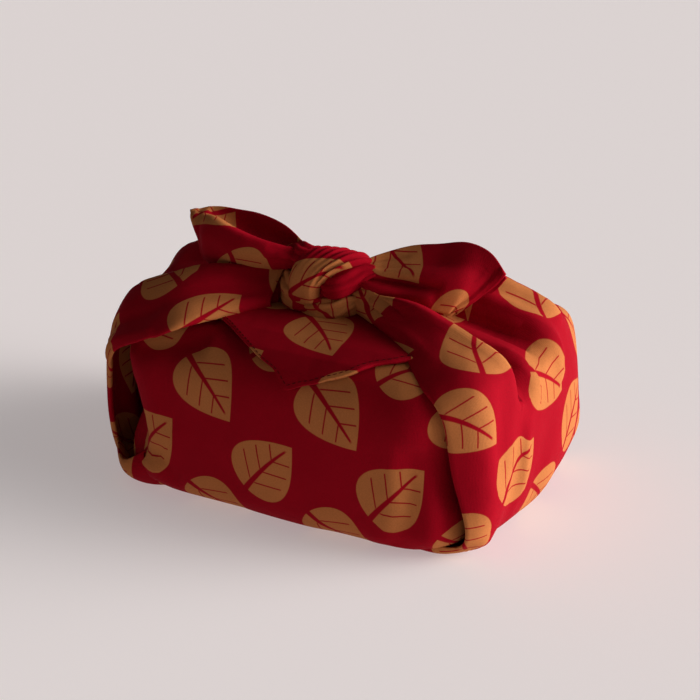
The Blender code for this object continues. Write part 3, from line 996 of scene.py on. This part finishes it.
def leaf_mask(paint, u, v):
    """Where the ochre is printed: 1 on a leaf, 0 on the ground"""
    cell_u, cell_v = (u/CELL).do("FLOOR"), (v/CELL).do("FLOOR")
    a, b = (u/CELL-cell_u-0.5)*CELL, (v/CELL-cell_v-0.5)*CELL
    turned = (cell_u+cell_v).do("PINGPONG", 1.0)
    along = a*(1-turned)+b*turned
    across = b*(1-turned)-a*turned
    t = along/LEAF_LENGTH+0.5
    inside = t.do("MAXIMUM", 0.0).do("MINIMUM", 1.0)
    bent = across-(inside*(1-inside))*LEAF_BEND
    half = inside.do("POWER", 0.5)*(1-inside)*(LEAF_FULLNESS*LEAF_HALF)
    off = bent.do("ABSOLUTE")
    leaf = soft_step(paint, half-2*EDGE-off, EDGE)
    rib = soft_step(paint, (1.25-inside*0.9)*0.001-off, EDGE)*soft_step(paint, 0.88-inside, 0.02)
    slant = (along-off*VEIN_SLANT)/VEIN_PITCH
    vein = slant-slant.do("FLOOR")-0.5
    veins = soft_step(paint, 0.05-vein.do("ABSOLUTE"), 0.025)
    veins = veins*soft_step(paint, half*0.78-off, EDGE)
    veins = veins*soft_step(paint, inside-0.16, 0.02)*soft_step(paint, 0.80-inside, 0.02)
    return leaf*(1-rib.do("MAXIMUM", veins))


# %% Cotton material
PRINT_TURN = radians(45)
WEAVE_PITCH = 0.00075
SHINE = "Specular IOR Level"


def cotton():
    """The printed cloth: print, cloudy dye, grain, weave and small wrinkles"""
    paint = Paint("printed_cotton")
    flat = paint.node("ShaderNodeUVMap", {"uv_map": "flat_cloth"})
    turned = paint.node("ShaderNodeMapping", {}, {"Vector": flat, "Rotation": (0, 0, PRINT_TURN)})
    parts = paint.node("ShaderNodeSeparateXYZ", {}, {"Vector": turned})
    u, v = parts.part("X"), parts.part("Y")
    printed = leaf_mask(paint, u, v)
    color = paint.node("ShaderNodeMix", {"data_type": "RGBA"},
                       {"Factor": printed, 6: GROUND, 7: OCHRE}, output=2)
    place = paint.node("ShaderNodeTexCoord", output=3)
    cloudy = paint.node("ShaderNodeTexNoise", {}, {"Vector": place, "Scale": 60.0, "Detail": 3.0})
    grain = paint.node("ShaderNodeTexNoise", {}, {"Vector": turned, "Scale": 1500.0, "Detail": 2.0})
    value = 1+(cloudy-0.5)*0.16+(grain-0.5)*0.35
    grey = paint.node("ShaderNodeCombineColor", {}, {"Red": value, "Green": value, "Blue": value})
    color = paint.node("ShaderNodeMix", {"data_type": "RGBA", "blend_type": "MULTIPLY"},
                       {"Factor": 1.0, 6: color, 7: grey}, output=2)
    pitch = 2*pi/WEAVE_PITCH
    weave = (u*pitch).do("SINE")*(v*pitch).do("SINE")
    soft = paint.node("ShaderNodeTexNoise", {}, {"Vector": place, "Scale": 38.0, "Detail": 2.0})
    fine = paint.node("ShaderNodeTexNoise", {}, {"Vector": place, "Scale": 130.0, "Detail": 3.0})
    height = weave*0.00003+soft*0.0024+fine*0.00045+grain*0.00006
    bump = paint.node("ShaderNodeBump", {}, {"Height": height, "Strength": 0.6, "Distance": 1.0})
    paint.set({"Base Color": color, "Roughness": 0.86+(grain-0.5)*0.1, "Normal": bump, SHINE: 0.06})
    return paint.material


cloth_mesh.materials.append(cotton())

# %% Sew the hems
thread = Paint("hem_thread")
thread.set({"Base Color": (0.07, 0.003, 0.004, 1), "Roughness": 0.9, SHINE: 0.05})
lines = [flap_line(-1), flap_line(1), ear_line("left", 1), ear_line("right", -1)]
stitches = bpy.data.objects.new("hem_stitches", edge_mesh("hem_stitches", lines))
bpy.context.scene.collection.objects.link(stitches)
sewing = stitches.modifiers.new("stitches", "NODES")
sewing.node_group = stitch_tree()
SIZES = {"Pitch": 2.3*MM, "Stitch Length": 1.7*MM, "Thread Radius": 0.17*MM,
         "Thread": thread.material}
for item in sewing.node_group.interface.items_tree:
    if item.in_out == "INPUT" and item.name in SIZES:
        sewing[item.identifier] = SIZES[item.name]
made_plain(stitches)
print("stitches have", len(stitches.data.polygons), "faces")

# %% [markdown]
# ## Setting, light and camera

# %% Floor, with a painted glow
FLOOR_HALF = 4.0
floor_mesh = bpy.data.meshes.new("floor")
bm = bmesh.new()
bmesh.ops.create_grid(bm, x_segments=1, y_segments=1, size=FLOOR_HALF)
bm.to_mesh(floor_mesh)
bm.free()
floor = bpy.data.objects.new("floor", floor_mesh)
bpy.context.scene.collection.objects.link(floor)
# The floor's base colour is its own pale tone. Its emission is painted light: a glow that lifts the
# floor's shadows and adds fill light on the cloth.
floor_with_painted_glow = Paint("pale_floor_with_painted_glow")
floor_with_painted_glow.set({"Base Color": (0.66, 0.61, 0.60, 1), "Roughness": 0.9,
                 "Emission Color": (0.99, 0.915, 0.91, 1), "Emission Strength": 0.34})
floor_mesh.materials.append(floor_with_painted_glow.material)

# %% Light: one soft window low at the right, and a dim room
WINDOW_TURN = radians(22)
WINDOW_RISE = radians(9)
WINDOW_POWER = 18
WINDOW_STRENGTH = 24.8
ROOM_STRENGTH = 0.08
window_way = Vector((cos(WINDOW_RISE)*cos(WINDOW_TURN), cos(WINDOW_RISE)*sin(WINDOW_TURN),
                     sin(WINDOW_RISE)))
world = bpy.context.scene.world or bpy.data.worlds.new("room")
bpy.context.scene.world = world
world.use_nodes = True
sky = Graph(world.node_tree)
way = sky.node("ShaderNodeTexCoord", output=0)
facing = sky.node("ShaderNodeVectorMath", {"operation": "DOT_PRODUCT"},
                  {0: way, 1: window_way}, output=1)
glow = facing.do("MAXIMUM", 0.0).do("POWER", WINDOW_POWER)*WINDOW_STRENGTH+ROOM_STRENGTH
background = sky.tree.nodes["Background"]
sky.join(background.inputs["Strength"], glow)
sky.join(background.inputs["Color"], (1.0, 0.975, 0.965, 1))
bpy.context.scene.view_settings.view_transform = "Standard"

# %% Camera
CAMERA_PLACE = Vector((0.2930, -0.5400, 0.3056))
CAMERA_AIM = Vector((0.0, 0.0, 0.041))
camera_data = bpy.data.cameras.new("camera")
camera_data.lens = 85.0
camera_data.sensor_width = 36.0
camera_data.shift_x = 0.0067
camera_data.shift_y = 0.0407
camera = bpy.data.objects.new("camera", camera_data)
camera.location = CAMERA_PLACE
camera.rotation_euler = (CAMERA_AIM-CAMERA_PLACE).to_track_quat("-Z", "Y").to_euler()
bpy.context.scene.collection.objects.link(camera)
bpy.context.scene.camera = camera

# %% Hand the cloth to the frame
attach(cloth, "root")
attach(stitches, "root")
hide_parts(NODE)
